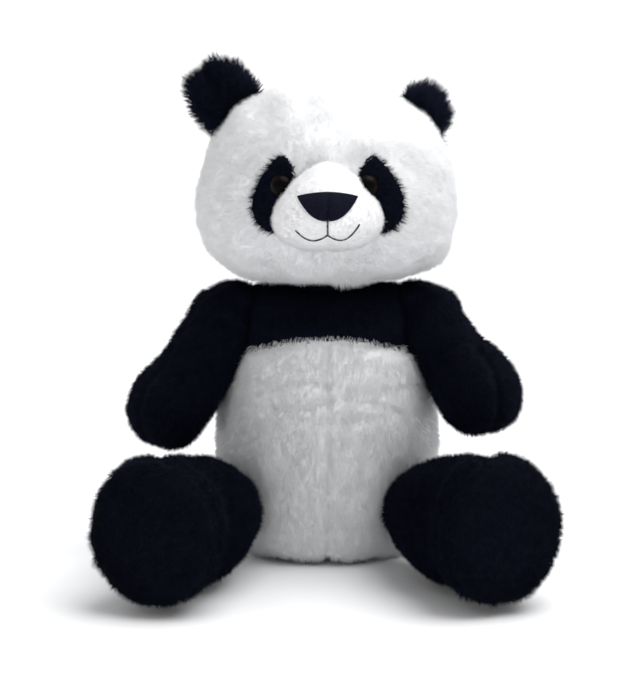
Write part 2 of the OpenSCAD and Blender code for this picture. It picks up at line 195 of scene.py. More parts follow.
HEAD_PANELS = ("chin_left", "chin_right", "forehead", "cheek_left", "cheek_right", "head_back")
WHITE_TORSO = ("belly_left", "belly_right", "back_left", "back_right")
YOKE = ("yoke_front", "yoke_back")
PATCHES = ("eye_patch_left", "eye_patch_right")
LIMB_CORES = tuple(f"{limb}_{side}_stuffing" for limb in ("arm", "leg") for side in SIDES)
joint_at = {j["child"]: Vector(j["pos_m"]) for j in frame["joints"]}


def box_centre(node):
    """The middle of a CAD node's box."""
    low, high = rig.box(node)
    return (low + high) / 2


FLOOR_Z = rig.box("belly_left")[0].z
YOKE_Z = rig.box("belly_left")[1].z
muzzle_mid = box_centre("muzzle_skin")


# ---------------------------------------------------------------- mesh helpers

def mesh_object(name, points, faces):
    """A new mesh object from arrays of points and of faces with equal numbers of corners."""
    mesh = bpy.data.meshes.new(name)
    points = np.asarray(points, np.float32)
    faces = np.asarray(faces, np.int32)
    mesh.vertices.add(len(points))
    mesh.vertices.foreach_set("co", points.ravel())
    mesh.loops.add(faces.size)
    mesh.loops.foreach_set("vertex_index", faces.ravel())
    mesh.polygons.add(len(faces))
    mesh.polygons.foreach_set("loop_start", np.arange(0, faces.size, faces.shape[1], dtype=np.int32))
    mesh.polygons.foreach_set("use_smooth", np.ones(len(faces), bool))
    mesh.update(calc_edges=True)
    obj = bpy.data.objects.new(name, mesh)
    bpy.context.scene.collection.objects.link(obj)
    return obj


def points_of(obj):
    co = np.empty(len(obj.data.vertices) * 3, np.float32)
    obj.data.vertices.foreach_get("co", co)
    return co.reshape(-1, 3).astype(float)


def set_points(obj, points):
    obj.data.vertices.foreach_set("co", np.asarray(points, np.float32).ravel())
    obj.data.update()


def normals_of(obj):
    n = np.empty(len(obj.data.vertices) * 3, np.float32)
    obj.data.vertex_normals.foreach_get("vector", n)
    return n.reshape(-1, 3).astype(float)


def triangles_of(obj):
    mesh = obj.data
    mesh.calc_loop_triangles()
    tri = np.empty(len(mesh.loop_triangles) * 3, np.int32)
    mesh.loop_triangles.foreach_get("vertices", tri)
    return tri.reshape(-1, 3)


def smooth_shading(obj):
    obj.data.polygons.foreach_set("use_smooth", np.ones(len(obj.data.polygons), bool))


def make_real(obj):
    """The object's own mesh becomes the result of its modifiers."""
    depsgraph = bpy.context.evaluated_depsgraph_get()
    mesh = bpy.data.meshes.new_from_object(obj.evaluated_get(depsgraph))
    obj.modifiers.clear()
    obj.data = mesh
    mesh.name = obj.name


def with_modifier(obj, kind, **settings):
    """Adds a modifier and applies it."""
    modifier = obj.modifiers.new(kind, kind)
    for key, value in settings.items():
        setattr(modifier, key, value)
    make_real(obj)


def unit(vectors):
    return vectors / np.maximum(np.linalg.norm(vectors, axis=-1, keepdims=True), 1e-9)


def bell(value, width):
    """1 where value is 0, falling to 0 over a few widths."""
    return np.exp(-(value / width) ** 2)


def tree_of(obj):
    """A search tree of an object's triangles."""
    return BVHTree.FromPolygons([Vector(p) for p in points_of(obj)], triangles_of(obj).tolist())


def keep_outer_island(obj):
    """Removes every loose part but the one with the most points."""
    count = len(obj.data.vertices)
    edges = np.empty(len(obj.data.edges) * 2, np.int32)
    obj.data.edges.foreach_get("vertices", edges)
    edges = edges.reshape(-1, 2)
    label = np.arange(count)
    while True:
        low = np.minimum(label[edges[:, 0]], label[edges[:, 1]])
        new = label.copy()
        np.minimum.at(new, edges[:, 0], low)
        np.minimum.at(new, edges[:, 1], low)
        new = new[new]
        if np.array_equal(new, label):
            break
        label = new
    names, sizes = np.unique(label, return_counts=True)
    keep = label == names[sizes.argmax()]
    tri = triangles_of(obj)
    tri = tri[keep[tri[:, 0]]]
    index = np.cumsum(keep) - 1
    island = mesh_object("island", points_of(obj)[keep], index[tri])
    obj.data = island.data
    bpy.data.objects.remove(island)


def solid_from_nodes(name, nodes, voxel):
    """One closed skin round several CAD nodes: joined, remeshed, and cleared of inner bubbles."""
    points, faces, first = [], [], 0
    for node in nodes:
        source = frame["nodes"][node]
        co = points_of(source)
        points.append(co)
        faces.append(triangles_of(source) + first)
        first += len(co)
    obj = mesh_object(name, np.concatenate(points), np.concatenate(faces))
    with_modifier(obj, "REMESH", mode="VOXEL", voxel_size=voxel)
    keep_outer_island(obj)
    return obj


def hull_of_nodes(name, nodes, voxel):
    """One closed skin stretched over several CAD nodes, with no hollows."""
    points = np.concatenate([points_of(frame["nodes"][node]) for node in nodes])
    work = bmesh.new()
    for point in points:
        work.verts.new(point)
    bmesh.ops.convex_hull(work, input=work.verts)
    bmesh.ops.triangulate(work, faces=work.faces)
    loose = [v for v in work.verts if not v.link_faces]
    bmesh.ops.delete(work, geom=loose, context="VERTS")
    mesh = bpy.data.meshes.new(name)
    work.to_mesh(mesh)
    work.free()
    obj = bpy.data.objects.new(name, mesh)
    bpy.context.scene.collection.objects.link(obj)
    with_modifier(obj, "REMESH", mode="VOXEL", voxel_size=voxel)
    return obj


def sheet_solid(name, front, back):
    """A closed thin solid between two grids of points, rows by columns."""
    rows, cols = front.shape[:2]
    index = np.arange(rows * cols).reshape(rows, cols)
    far = index + rows * cols

    def quads(g):
        return np.stack([g[:-1, :-1], g[:-1, 1:], g[1:, 1:], g[1:, :-1]], -1).reshape(-1, 4)

    def wall(a, b):
        return np.stack([a[:-1], b[:-1], b[1:], a[1:]], -1)

    faces = [quads(index), quads(far)[:, ::-1], wall(index[0], far[0]), wall(far[-1], index[-1]),
             wall(far[:, 0], index[:, 0]), wall(index[:, -1], far[:, -1])]
    points = np.concatenate([front.reshape(-1, 3), back.reshape(-1, 3)])
    return mesh_object(name, points, np.concatenate(faces))


THREAD_SIDES = 8
THREAD_ACROSS = (0.1, 1.0, 0.15)    # a way that no thread runs along
WELD_GAP = 0.01 * MM


def thread_along(name, path, radius):
    """A closed round thread along a list of points."""
    path = np.asarray(path, float)
    way = unit(np.gradient(path, axis=0))
    across = unit(np.cross(way, THREAD_ACROSS))
    other = np.cross(way, across)
    rings = []
    for k in range(THREAD_SIDES):
        turn = 2 * math.pi * k / THREAD_SIDES
        rings.append(path + radius * (math.cos(turn) * across + math.sin(turn) * other))
    tube = np.stack(rings, 1)
    first, last = tube[:1] * 0 + path[0], tube[:1] * 0 + path[-1]
    tube = np.concatenate([first, tube, last])
    index = np.arange(tube.shape[0] * THREAD_SIDES).reshape(-1, THREAD_SIDES)
    index = np.concatenate([index, index[:, :1]], 1)
    faces = np.stack([index[:-1, :-1], index[:-1, 1:], index[1:, 1:], index[1:, :-1]], -1).reshape(-1, 4)
    obj = mesh_object(name, tube.reshape(-1, 3), faces)
    with_modifier(obj, "WELD", merge_threshold=WELD_GAP)
    return obj


def joined(name, objects):
    """Several mesh objects made into one."""
    points, faces, first = [], [], 0
    for obj in objects:
        co = points_of(obj)
        points.append(co)
        faces.append(triangles_of(obj) + first)
        first += len(co)
        bpy.data.objects.remove(obj)
    return mesh_object(name, np.concatenate(points), np.concatenate(faces))


# ---------------------------------------------------------------- padding

CLOTH_FRAMES = 14
CLOTH_PRESSURE = 4.0
MAX_SWELL = 2.5 * MM


def plump(obj):
    """Blows the skin up as cloth with pressure inside, so that it wrinkles and bulges."""
    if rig.quick():
        return
    rest = points_of(obj)
    modifier = obj.modifiers.new("cloth", "CLOTH")
    settings = modifier.settings
    settings.quality = 5
    settings.mass = 0.15
    settings.tension_stiffness = 8
    settings.compression_stiffness = 8
    settings.bending_stiffness = 0.4
    settings.use_pressure = True
    settings.uniform_pressure_force = CLOTH_PRESSURE
    settings.effector_weights.gravity = 0
    modifier.point_cache.frame_start = 1
    modifier.point_cache.frame_end = CLOTH_FRAMES
    scene = bpy.context.scene
    for number in range(1, CLOTH_FRAMES + 1):
        scene.frame_set(number)
    make_real(obj)
    scene.frame_set(1)
    moved = points_of(obj) - rest
    far = np.linalg.norm(moved, axis=1, keepdims=True)
    set_points(obj, rest + moved * np.minimum(1, MAX_SWELL / np.maximum(far, 1e-9)))


NOISE_WAVES = 7
NOISE_STRETCH = (0.7, 1.5)     # the waves are this much more or less crowded
NOISE_HEIGHT = 4               # the waves' sum seldom passes this


def noise_field(points, scale, seed):
    """Smooth lumpy noise from about -1 to 1, made of slanted waves. scale is the size of a lump."""
    rng = np.random.default_rng(seed)
    total = np.zeros(len(points))
    for _ in range(NOISE_WAVES):
        way = unit(rng.normal(size=3))
        crowding = rng.uniform(*NOISE_STRETCH)
        start = rng.uniform(0, 2 * math.pi)
        total += np.sin(points @ way * 2 * math.pi / scale * crowding + start)
    return total / NOISE_HEIGHT


NO_SEAM = 1.0      # stands for the seam distance of a skin with one panel


def seam_distances(points, nodes):
    """For each point, the index of its nearest panel, and its distance from the seam to the next panel."""
    if len(nodes) == 1:
        return np.zeros(len(points), int), np.full(len(points), NO_SEAM)
    distance = np.empty((len(nodes), len(points)))
    for i, node in enumerate(nodes):
        tree = tree_of(frame["nodes"][node])
        distance[i] = [tree.find_nearest(Vector(p))[3] for p in points]
    order = np.argsort(distance, axis=0)
    near = np.take_along_axis(distance, order[:1], 0)[0]
    next_near = np.take_along_axis(distance, order[1:2], 0)[0]
    return order[0], np.sqrt(np.maximum(next_near ** 2 - near ** 2, 0))


SEAM_WIDTH = 3 * MM
LUMP_SIZE = 30 * MM
TUFT_SIZE = 10 * MM
TUFT_RELIEF = 0.25 * MM
TUFT_SEED = 50      # added to a skin's own seed, so that its tufts and lumps differ
SMOOTH_SHARE = 0.6
SMOOTH_ROUNDS = 6
skin_facts = {}     # for each skin: its panels, and the panel and seam distance of each of its points


def padded_skin(name, panels, inner, voxel=4 * MM, inset=2.5 * MM, groove=1.6 * MM, lumps=1.0 * MM,
                shape=None, seam_shift=None, fill=0.85, solid=solid_from_nodes, seed=1):
    """The stuffed skin under the pile: swollen, with its seams drawn in and the surface a little lumpy.

    shape gives how far it sinks at each point besides, and seam_shift how far its seams lie above the CAD's.
    """
    obj = solid(name, tuple(panels) + tuple(inner), voxel)
    with_modifier(obj, "SMOOTH", factor=SMOOTH_SHARE, iterations=SMOOTH_ROUNDS)
    plump(obj)
    with_modifier(obj, "SUBSURF", levels=1)
    points = points_of(obj)
    seam_points = points - UP * seam_shift(points)[:, None] if seam_shift else points
    panel, seam = seam_distances(seam_points, panels)
    sunk = inset + groove * bell(seam, SEAM_WIDTH) + lumps * noise_field(points, LUMP_SIZE, seed)
    sunk += TUFT_RELIEF * noise_field(points, TUFT_SIZE, seed + TUFT_SEED)
    if shape:
        sunk = sunk + shape(points)
    set_points(obj, points - normals_of(obj) * sunk[:, None])
    smooth_shading(obj)
    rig.padded(obj, fill=fill)
    skin_facts[name] = (tuple(panels), panel, seam)
    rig.replaces(obj, *panels, *inner)
    return obj


# ---------------------------------------------------------------- pile

# Strand length, half thickness, strands for each square millimetre, how far it lies down (0 upright, 1 flat),
# the size of its brushed tufts, how strongly tips draw together, and how much shorter it is along a seam.
Pile = namedtuple("Pile", "length radius per_mm2 lean tuft pull seam_cut")
WHITE_PILE = Pile(4.4 * MM, 0.16 * MM, 2.3, 0.58, 2.2 * MM, 0.16, 0.2)
BLACK_PILE = Pile(4.6 * MM, 0.17 * MM, 2.2, 0.58, 2.6 * MM, 0.22, 0.5)
YOKE_PILE = BLACK_PILE._replace(pull=0.12, seam_cut=0.6)
PATCH_PILE = Pile(5.4 * MM, 0.18 * MM, 2.4, 0.60, 2.8 * MM, 0.25, 0.0)
EAR_PILE = Pile(8.0 * MM, 0.17 * MM, 3.0, 0.50, 2.6 * MM, 0.36, 0.0)
NAP = Pile(2.0 * MM, 0.12 * MM, 2.4, 0.55, 1.5 * MM, 0.1, 0.0)

SPIKE_SIDES = 3
SPIKE_POINTS = SPIKE_SIDES + 1
SPIKE = np.array([[0, 2, 1], [0, 1, 3], [1, 2, 3], [2, 0, 3]])
PILE_SHARE = 0.4 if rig.quick() else 1.0


def sample_skin(obj, per_mm2, rng):
    """Random points on a skin: places, normals, and the index of a corner of the triangle under each."""
    points, normals, tri = points_of(obj), normals_of(obj), triangles_of(obj)
    a, b, c = (points[tri[:, k]] for k in range(3))
    area = np.linalg.norm(np.cross(b - a, c - a), axis=1) / 2
    count = int(area.sum() / MM ** 2 * per_mm2 * PILE_SHARE)
    pick = rng.choice(len(tri), count, p=area / area.sum())
    weights = rng.dirichlet((1, 1, 1), count)
    corners = tri[pick]
    place = sum(points[corners[:, k]] * weights[:, k:k + 1] for k in range(3))
    normal = unit(sum(normals[corners[:, k]] * weights[:, k:k + 1] for k in range(3)))
    return place, normal, corners[:, 0]


CELL_KEY = np.array([73856093, 19349663, 83492791])     # large primes that give each cell its own number


def drawn_together(place, tips, spacing, pull, rng):
    """Draws the tips of neighbouring strands together, as brushed pile does."""
    cell = np.floor(place / spacing + rng.random(3)).astype(np.int64)
    key = (cell * CELL_KEY).sum(1)
    _, group, sizes = np.unique(key, return_inverse=True, return_counts=True)
    centre = np.stack([np.bincount(group, tips[:, k]) / sizes for k in range(3)], 1)
    return tips + (centre[group] - tips) * pull


COMB_SPREAD = 0.35
TUFT_SPREAD = 0.25
LEAN_SPREAD = 0.14
LEAN_LIMITS = (0.05, 0.95)
SIZE_SPREAD = (0.65, 1.15)
TURN_SPREAD = 0.3
ROOT_DEPTH = 0.4 * MM
STANDING = 0.6      # how much a strand is lit as the skin under it, against as a round thread


def strand_mesh(name, place, normal, comb, length, pile, rng):
    """Tapered closed strands that stand on place and lean along comb."""
    count = len(place)
    comb = comb - (comb * normal).sum(1, keepdims=True) * normal
    comb = unit(unit(comb) + COMB_SPREAD * rng.normal(size=(count, 3)))
    lean = np.clip(pile.lean + LEAN_SPREAD * rng.normal(size=count), *LEAN_LIMITS)[:, None]
    way = unit(normal * (1 - lean) + comb * lean)
    size = (length * rng.uniform(*SIZE_SPREAD, count))[:, None]
    tips = drawn_together(place, place + way * size, pile.tuft, pile.pull, rng)
    across = unit(np.cross(way, normal + TURN_SPREAD * rng.normal(size=(count, 3))))
    other = np.cross(way, across)
    points, lit = [], []
    for k in range(SPIKE_SIDES):
        turn = 2 * math.pi * k / SPIKE_SIDES
        round_way = math.cos(turn) * across + math.sin(turn) * other
        points.append(place - normal * ROOT_DEPTH + pile.radius * round_way)
        lit.append(unit(normal * STANDING + round_way * (1 - STANDING)))
    points.append(tips)
    lit.append(unit(normal + way))
    faces = (np.arange(count)[:, None, None] * SPIKE_POINTS + SPIKE[None]).reshape(-1, 3)
    obj = mesh_object(name, np.stack(points, 1).reshape(-1, 3), faces)
    obj.data.normals_split_custom_set_from_vertices(np.stack(lit, 1).reshape(-1, 3))
    return obj


def grow_pile(skin, pile, finish, follow, comb_at, keep=None, panel_at=None, only=None,
              ending="pile", seed=1):
    """One pile piece for each panel of a skin, or for each of only. keep picks strands."""
    rng = np.random.default_rng(seed)
    place, normal, corner = sample_skin(skin, pile.per_mm2, rng)
    panels, panel, seam = skin_facts[skin.name]
    chosen = keep(place, normal, corner) if keep else np.ones(len(place), bool)
    place, normal, corner = place[chosen], normal[chosen], corner[chosen]
    panel = panel_at(place) if panel_at else panel[corner]
    comb = comb_at(place)
    sizes = pile.length * (1 - pile.seam_cut * bell(seam[corner], SEAM_WIDTH))
    sizes = sizes * (1 + TUFT_SPREAD * noise_field(place, TUFT_SIZE, seed))
    for i, node in enumerate(panels):
        here = panel == i
        if here.any() and (only is None or node in only):
            piece = strand_mesh(f"{node}_{ending}", place[here], normal[here], comb[here],
                                sizes[here], pile, rng)
            wear(piece, finish)
            follow(piece)


# ---------------------------------------------------------------- what each piece follows

def rides(body):
    """The piece moves with one body."""
    return lambda obj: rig.ride(obj, body)


def bends(parent, body, way, before, after):
    """The piece follows the parent up to a little before the joint, and the body from a little after it."""
    root = joint_at[body]
    start, end = tuple(root - way * before), tuple(root + way * after)
    return lambda obj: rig.blend(obj, parent, body, start=start, end=end)


# ---------------------------------------------------------------- materials

Finish = namedtuple("Finish", "material slot")


def wear(obj, finish):
    """Gives a piece its material, and the record's slot that it stands for."""
    obj.data.materials.append(finish.material)
    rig.slot(obj, finish.slot)


def new_material(name):
    material = bpy.data.materials.new(name)
    material.use_nodes = True
    return material, material.node_tree, material.node_tree.nodes["Principled BSDF"]


def set_ramp(ramp, stops):
    """Fills a colour ramp with (position, colour) stops."""
    elements = ramp.color_ramp.elements
    while len(elements) < len(stops):
        elements.new(0.5)
    for element, (position, colour) in zip(elements, stops):
        element.position = position
        element.color = (*colour, 1)


WEAVE_DEPTH = 0.4 * MM
DARK_AT = 0.3      # where the noise turns fully dark and fully light
LIGHT_AT = 0.7


def cloth(name, slot, dark, light, scale, roughness=0.9, relief=0.0, shine=0.25):
    """A fabric whose colour drifts between two tones over lumps of 1 / scale, with a fine relief."""
    material, tree, shader = new_material(name)
    place = tree.nodes.new("ShaderNodeTexCoord")
    noise = tree.nodes.new("ShaderNodeTexNoise")
    noise.inputs["Scale"].default_value = scale
    noise.inputs["Detail"].default_value = 4
    ramp = tree.nodes.new("ShaderNodeValToRGB")
    set_ramp(ramp, [(DARK_AT, dark), (LIGHT_AT, light)])
    tree.links.new(place.outputs["Object"], noise.inputs["Vector"])
    tree.links.new(noise.outputs["Fac"], ramp.inputs["Fac"])
    tree.links.new(ramp.outputs["Color"], shader.inputs["Base Color"])
    shader.inputs["Roughness"].default_value = roughness
    shader.inputs["Specular IOR Level"].default_value = shine
    if relief:
        bump = tree.nodes.new("ShaderNodeBump")
        bump.inputs["Strength"].default_value = relief
        bump.inputs["Distance"].default_value = WEAVE_DEPTH
        tree.links.new(noise.outputs["Fac"], bump.inputs["Height"])
        tree.links.new(bump.outputs["Normal"], shader.inputs["Normal"])
    return Finish(material, slot)


# Colours of an eye from the edge of its dome (0) to the middle (1), and the pattern's reach in depth.
EYE_RIM = (0.10, (0.005, 0.0025, 0.002))
EYE_IRIS = (0.42, (0.004, 0.002, 0.0015))
EYE_PUPIL = (0.5, (0.001, 0.001, 0.001))
EYE_DEPTH = 4


def eye_plastic(side):
    """Clear glossy plastic over a dark pupil and a brown rim, by distance from the middle of the dome."""
    material, tree, shader = new_material(f"eye_{side}_plastic")
    low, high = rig.box(f"eye_{side}")
    middle = Vector(((low.x + high.x) / 2, low.y, (low.z + high.z) / 2))
    radius = (high.z - low.z) / 2
    place = tree.nodes.new("ShaderNodeTexCoord")
    centred = tree.nodes.new("ShaderNodeMapping")
    centred.vector_type = "TEXTURE"
    centred.inputs["Location"].default_value = middle
    centred.inputs["Scale"].default_value = (radius, radius * EYE_DEPTH, radius)
    falloff = tree.nodes.new("ShaderNodeTexGradient")
    falloff.gradient_type = "SPHERICAL"
    ramp = tree.nodes.new("ShaderNodeValToRGB")
    set_ramp(ramp, [EYE_RIM, EYE_IRIS, EYE_PUPIL])
    tree.links.new(place.outputs["Object"], centred.inputs["Vector"])
    tree.links.new(centred.outputs["Vector"], falloff.inputs["Vector"])
    tree.links.new(falloff.outputs["Fac"], ramp.inputs["Fac"])
    tree.links.new(ramp.outputs["Color"], shader.inputs["Base Color"])
    shader.inputs["Roughness"].default_value = 0.3
    shader.inputs["Specular IOR Level"].default_value = 0.04
    return Finish(material, "eye_plastic")


white_pile = cloth("white_pile", "white_fur", (0.93, 0.935, 0.95), (0.97, 0.975, 0.985), 260)
white_backing = cloth("white_backing", "white_fur", (0.92, 0.925, 0.94), (0.96, 0.965, 0.975), 600)
black_pile = cloth("black_pile", "black_fur", (0.001, 0.002, 0.008), (0.004, 0.0065, 0.021), 260,
                   roughness=0.8, shine=0.1)
black_backing = cloth("black_backing", "black_fur", (0.001, 0.0015, 0.004), (0.002, 0.003, 0.008), 600,
                      shine=0.1)
velour = cloth("velour", "white_velour", (0.88, 0.88, 0.895), (0.95, 0.95, 0.96), 900, relief=0.5)
nose_cloth = cloth("nose_cloth", "nose_cloth", (0.002, 0.0025, 0.007), (0.007, 0.008, 0.018), 1400,
                   roughness=0.85, relief=0.6, shine=0.06)
thread = cloth("thread", "black_thread", (0.004, 0.004, 0.008), (0.014, 0.015, 0.024), 2500, roughness=0.7)
white_thread = cloth("white_thread", "white_thread", (0.8, 0.8, 0.82), (0.9, 0.9, 0.91), 2500, roughness=0.7)
ribbon = cloth("ribbon", "ribbon", (0.85, 0.85, 0.86), (0.93, 0.93, 0.94), 700, roughness=0.45, relief=0.3)
washer_plastic = cloth("washer_plastic", "washer_plastic", (0.78, 0.78, 0.78), (0.84, 0.84, 0.84), 300, 0.5)


# ---------------------------------------------------------------- tests that pick strands

INSIDE_REACH = 40 * MM     # no CAD node's surface is farther than this from a point inside it
BARE_GAP = 0.5 * MM        # strands keep this far from what presses on the skin
ROOT_GAP = 3 * MM          # and this far from the body, at the root of a limb or the tail


def clear_of(nodes, gap):
    """True for strands whose roots are outside some CAD nodes, and farther than gap from them."""
    trees = [tree_of(frame["nodes"][node]) for node in nodes]

    def is_clear(point):
        for tree in trees:
            near, facing, _, distance = tree.find_nearest(point, INSIDE_REACH)
            if near is not None and (distance < gap or (point - near).dot(facing) < 0):
                return False
        return True

    return lambda place, normal, corner: np.array([is_clear(Vector(p)) for p in place], bool)


PATCH_REACH = 9 * MM
EYE_MARGIN = 4.5 * MM      # the patch goes on this far round an eye


def under_patch(place, normal, corner=None):
    """True where an eye patch lies straight above the skin, or an eye is close."""
    patches = [tree_of(frame["nodes"][node]) for node in PATCHES]
    eyes = [tree_of(frame["nodes"][f"eye_{side}"]) for side in SIDES]

    def covered(point, facing):
        return (any(t.ray_cast(point, facing, PATCH_REACH)[0] is not None for t in patches)
                or any(t.find_nearest(point, EYE_MARGIN)[0] is not None for t in eyes))

    return np.array([covered(Vector(p), Vector(n)) for p, n in zip(place, normal)], bool)


def on_skin(skin, test):
    """A strand test worked out once for each point of the skin."""
    known = test(points_of(skin), normals_of(skin), None)
    return lambda place, normal, corner: known[corner]


def both(*tests):
    return lambda place, normal, corner: np.logical_and.reduce([t(place, normal, corner) for t in tests])


# ---------------------------------------------------------------- torso

CREASES = ((108 * MM, 1.2 * MM), (98 * MM, 1.7 * MM), (89 * MM, 0.9 * MM))   # height and depth of each
CREASE_SPREAD = 46 * MM      # how far they go out from the middle
CREASE_WIDTH = 2.6 * MM
CREASE_WAVE = 3 * MM         # how far they wave up and down
CREASE_BENDS = 90            # how crowded the waves are, in radians for each metre across
CREASE_SHIFT = 900           # and how much they differ from crease to crease
CREASE_SAG = 6 * MM          # how far they sag at SAG_AT beside the middle
SAG_AT = 50 * MM


def belly_creases(points):
    """Soft folds across the front of the belly, where the arms' weight pushes the padding down."""
    x, y, z = points.T
    front = (y < 0) * bell(x, CREASE_SPREAD)
    total = np.zeros(len(points))
    for height, depth in CREASES:
        wave = CREASE_WAVE * np.sin(x * CREASE_BENDS + height * CREASE_SHIFT)
        line = height + wave - CREASE_SAG * (x / SAG_AT) ** 2
        total += depth * bell(z - line, CREASE_WIDTH)
    return total * front


SHOULDER_REACH = 28 * MM  # how far the filling of a shoulder goes out from its middle
SHOULDER_FILL = 11 * MM   # how far the yoke swells beside an arm
FILL_HEIGHT = 14 * MM     # the middle of that swelling, above the arm's joint
YOKE_LIFT = 3.5 * MM      # how far the yoke swells under the chin
YOKE_RISE = 8 * MM        # its swelling begins over this height
CHEST_DEPTH = 20 * MM     # and fades to the back over this depth
YOKE_ARCH = 5 * MM        # how far the yoke's seam rises in the middle of the chest
YOKE_DROP = 9 * MM        # how far it falls from there
DROP_AT = 40 * MM         # to this far beside the middle
DROP_END = 1.2            # times that is where it falls no farther
ARCH_FADE = 20 * MM       # height over which the arch fades away
YOKE_UNDERLAP = 1.5 * MM  # the dark cloth goes on under the white pile this far
WHITE_OVERLAP = 2 * MM    # and the white pile stands this far into the dark one
YOKE_BLUR = 0.6 * MM
BLUR_WAVES = np.array([3100.0, 2300.0, 0.0])


def yoke_arch(points):
    """The yoke's lower seam rises in the middle of the chest."""
    x, y, z = points.T
    near = np.clip(1 - np.abs(z - YOKE_Z) / ARCH_FADE, 0, 1)
    return near * (y < 0) * (YOKE_ARCH - YOKE_DROP * np.clip(x / DROP_AT, -DROP_END, DROP_END) ** 2)


def torso_shape(points):
    """The belly's creases, and a yoke that is fuller under the chin and beside the arms."""
    above = np.clip((points[:, 2] - YOKE_Z) / YOKE_RISE, 0, 1)
    ahead = np.clip(0.5 - points[:, 1] / CHEST_DEPTH, 0, 1)
    tops = [np.array(joint_at[f"arm_{side}"]) + FILL_HEIGHT * UP for side in SIDES]
    beside = sum(bell(np.linalg.norm(points - top, axis=1), SHOULDER_REACH) for top in tops)
    return belly_creases(points) - np.maximum(YOKE_LIFT * ahead, SHOULDER_FILL * beside) * above


def torso_panel_at(points):
    """The number of the torso panel at each point: four white quarters, then the yoke's front and back."""
    x, y, z = points.T
    behind = (y > 0).astype(int)
    blur = YOKE_BLUR * np.sin(points @ BLUR_WAVES)
    above = z > YOKE_Z + yoke_arch(points) + blur
    return np.where(above, len(WHITE_TORSO) + behind, 2 * behind + (x > 0))


def white_panel_at(points):
    """The same for the white pile, which stands a little over the yoke's seam."""
    return torso_panel_at(points - WHITE_OVERLAP * UP)


def above_floor(place, normal, corner):
    """True for strands that cannot reach through the floor."""
    return place[:, 2] > FLOOR_Z + WHITE_PILE.length / 2


def down_flow(points):
    """Straight down, as the body's pile is brushed."""
    return np.tile(-UP, (len(points), 1))


def build_torso():
    """The body: one skin of two cloths, white pile below and dark pile on the yoke."""
    panels = WHITE_TORSO + YOKE
    skin = padded_skin("torso_skin", panels, ("seat_panel", "torso_stuffing", "pellet_pouch"),
                       groove=2.0 * MM, lumps=0.6 * MM, shape=torso_shape, seam_shift=yoke_arch,
                       solid=hull_of_nodes, seed=3)
    wear(skin, white_backing)
    skin.data.materials.append(black_backing.material)
    centres = np.empty(len(skin.data.polygons) * 3, np.float32)
    skin.data.polygons.foreach_get("center", centres)
    dark = torso_panel_at(centres.reshape(-1, 3) + YOKE_UNDERLAP * UP) >= len(WHITE_TORSO)
    skin.data.polygons.foreach_set("material_index", dark.astype(np.int32))
    open_skin = on_skin(skin, clear_of(LIMB_CORES, BARE_GAP))
    follow = rides("torso")
    grow_pile(skin, WHITE_PILE, white_pile, follow, down_flow, both(open_skin, above_floor),
              panel_at=white_panel_at, only=WHITE_TORSO, seed=11)
    grow_pile(skin, YOKE_PILE, black_pile, follow, down_flow, open_skin,
              panel_at=torso_panel_at, only=YOKE, seed=12)
    follow(skin)
    build_closing_stitches(skin)


STITCHES = 8
STITCH_POINTS = 5
STITCH_LONG = 5 * MM
STITCH_THICK = 0.5 * MM
RAY_START = 20 * MM       # rays at the back start this far behind it


def build_closing_stitches(skin):
    """Ladder stitches across the seam in the middle of the back."""
    low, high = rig.box("closing_stitches")
    tree = tree_of(skin)
    stitches = []
    for z in np.linspace(low.z, high.z, STITCHES):
        path = []
        for x in np.linspace(-STITCH_LONG / 2, STITCH_LONG / 2, STITCH_POINTS):
            hit = tree.ray_cast(Vector((x, high.y + RAY_START, z)), Vector(FORWARD))[0]
            path.append((x, hit.y + STITCH_THICK, z))
        stitches.append(thread_along("stitch", path, STITCH_THICK))
    obj = joined("closing_stitches_thread", stitches)
    wear(obj, white_thread)
    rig.replaces(obj, "closing_stitches")
    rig.ride(obj, "torso")


LABEL_THICK = 0.35 * MM
LABEL_ROWS = 14
LABEL_COLUMNS = 9
LABEL_CURL = 1.6 * MM
LABEL_RIPPLE = 0.5 * MM
LABEL_WAVES = (3, 2)      # radians of ripple across half the label, and along it
LABEL_GAPE = 0.5 * MM     # how far its two layers open at the free end


def build_care_label():
    """A blank satin ribbon, folded double, that curls a little away from the seam."""
    source = frame["nodes"]["care_label"]
    points = points_of(source)
    middle = points.mean(0)
    out = unit(np.array([middle[0], middle[1], 0.0]))
    along = np.cross(UP, out)
    low, high = points[:, 2].min(), points[:, 2].max()
    half = np.abs((points - middle) @ along).max()
    v, u = np.meshgrid(np.linspace(0, 1, LABEL_ROWS), np.linspace(-1, 1, LABEL_COLUMNS), indexing="ij")
    ripple = LABEL_RIPPLE * np.sin(LABEL_WAVES[0] * u + LABEL_WAVES[1] * v)
    curl = LABEL_CURL * (1 - v) ** 2 + ripple
    layers = []
    for layer in (0, 1):
        spread = (curl + layer * (LABEL_THICK + LABEL_GAPE * (1 - v)))[..., None]
        front = middle + along * (u * half)[..., None] + out * spread
        front[..., 2] = low + (high - low) * v
        layers.append(sheet_solid("layer", front + out * LABEL_THICK, front))
    obj = joined("care_label_ribbon", layers)
    wear(obj, ribbon)
    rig.replaces(obj, "care_label")
    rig.ride(obj, "torso")


TAIL_SINK = 3 * MM        # the tail is sewn this far into the back's pile


def build_tail():
    """A small ball of white pile low on the back."""
    skin = padded_skin("tail_skin", ("tail",), (), voxel=2.5 * MM, inset=1 * MM, groove=0,
                       lumps=0.4 * MM, seed=4)
    set_points(skin, points_of(skin) + TAIL_SINK * FORWARD)
    wear(skin, white_backing)
    follow = rides("torso")
    outside = on_skin(skin, clear_of(("torso_stuffing",), ROOT_GAP))
    grow_pile(skin, WHITE_PILE, white_pile, follow, down_flow, outside, seed=13)
    follow(skin)


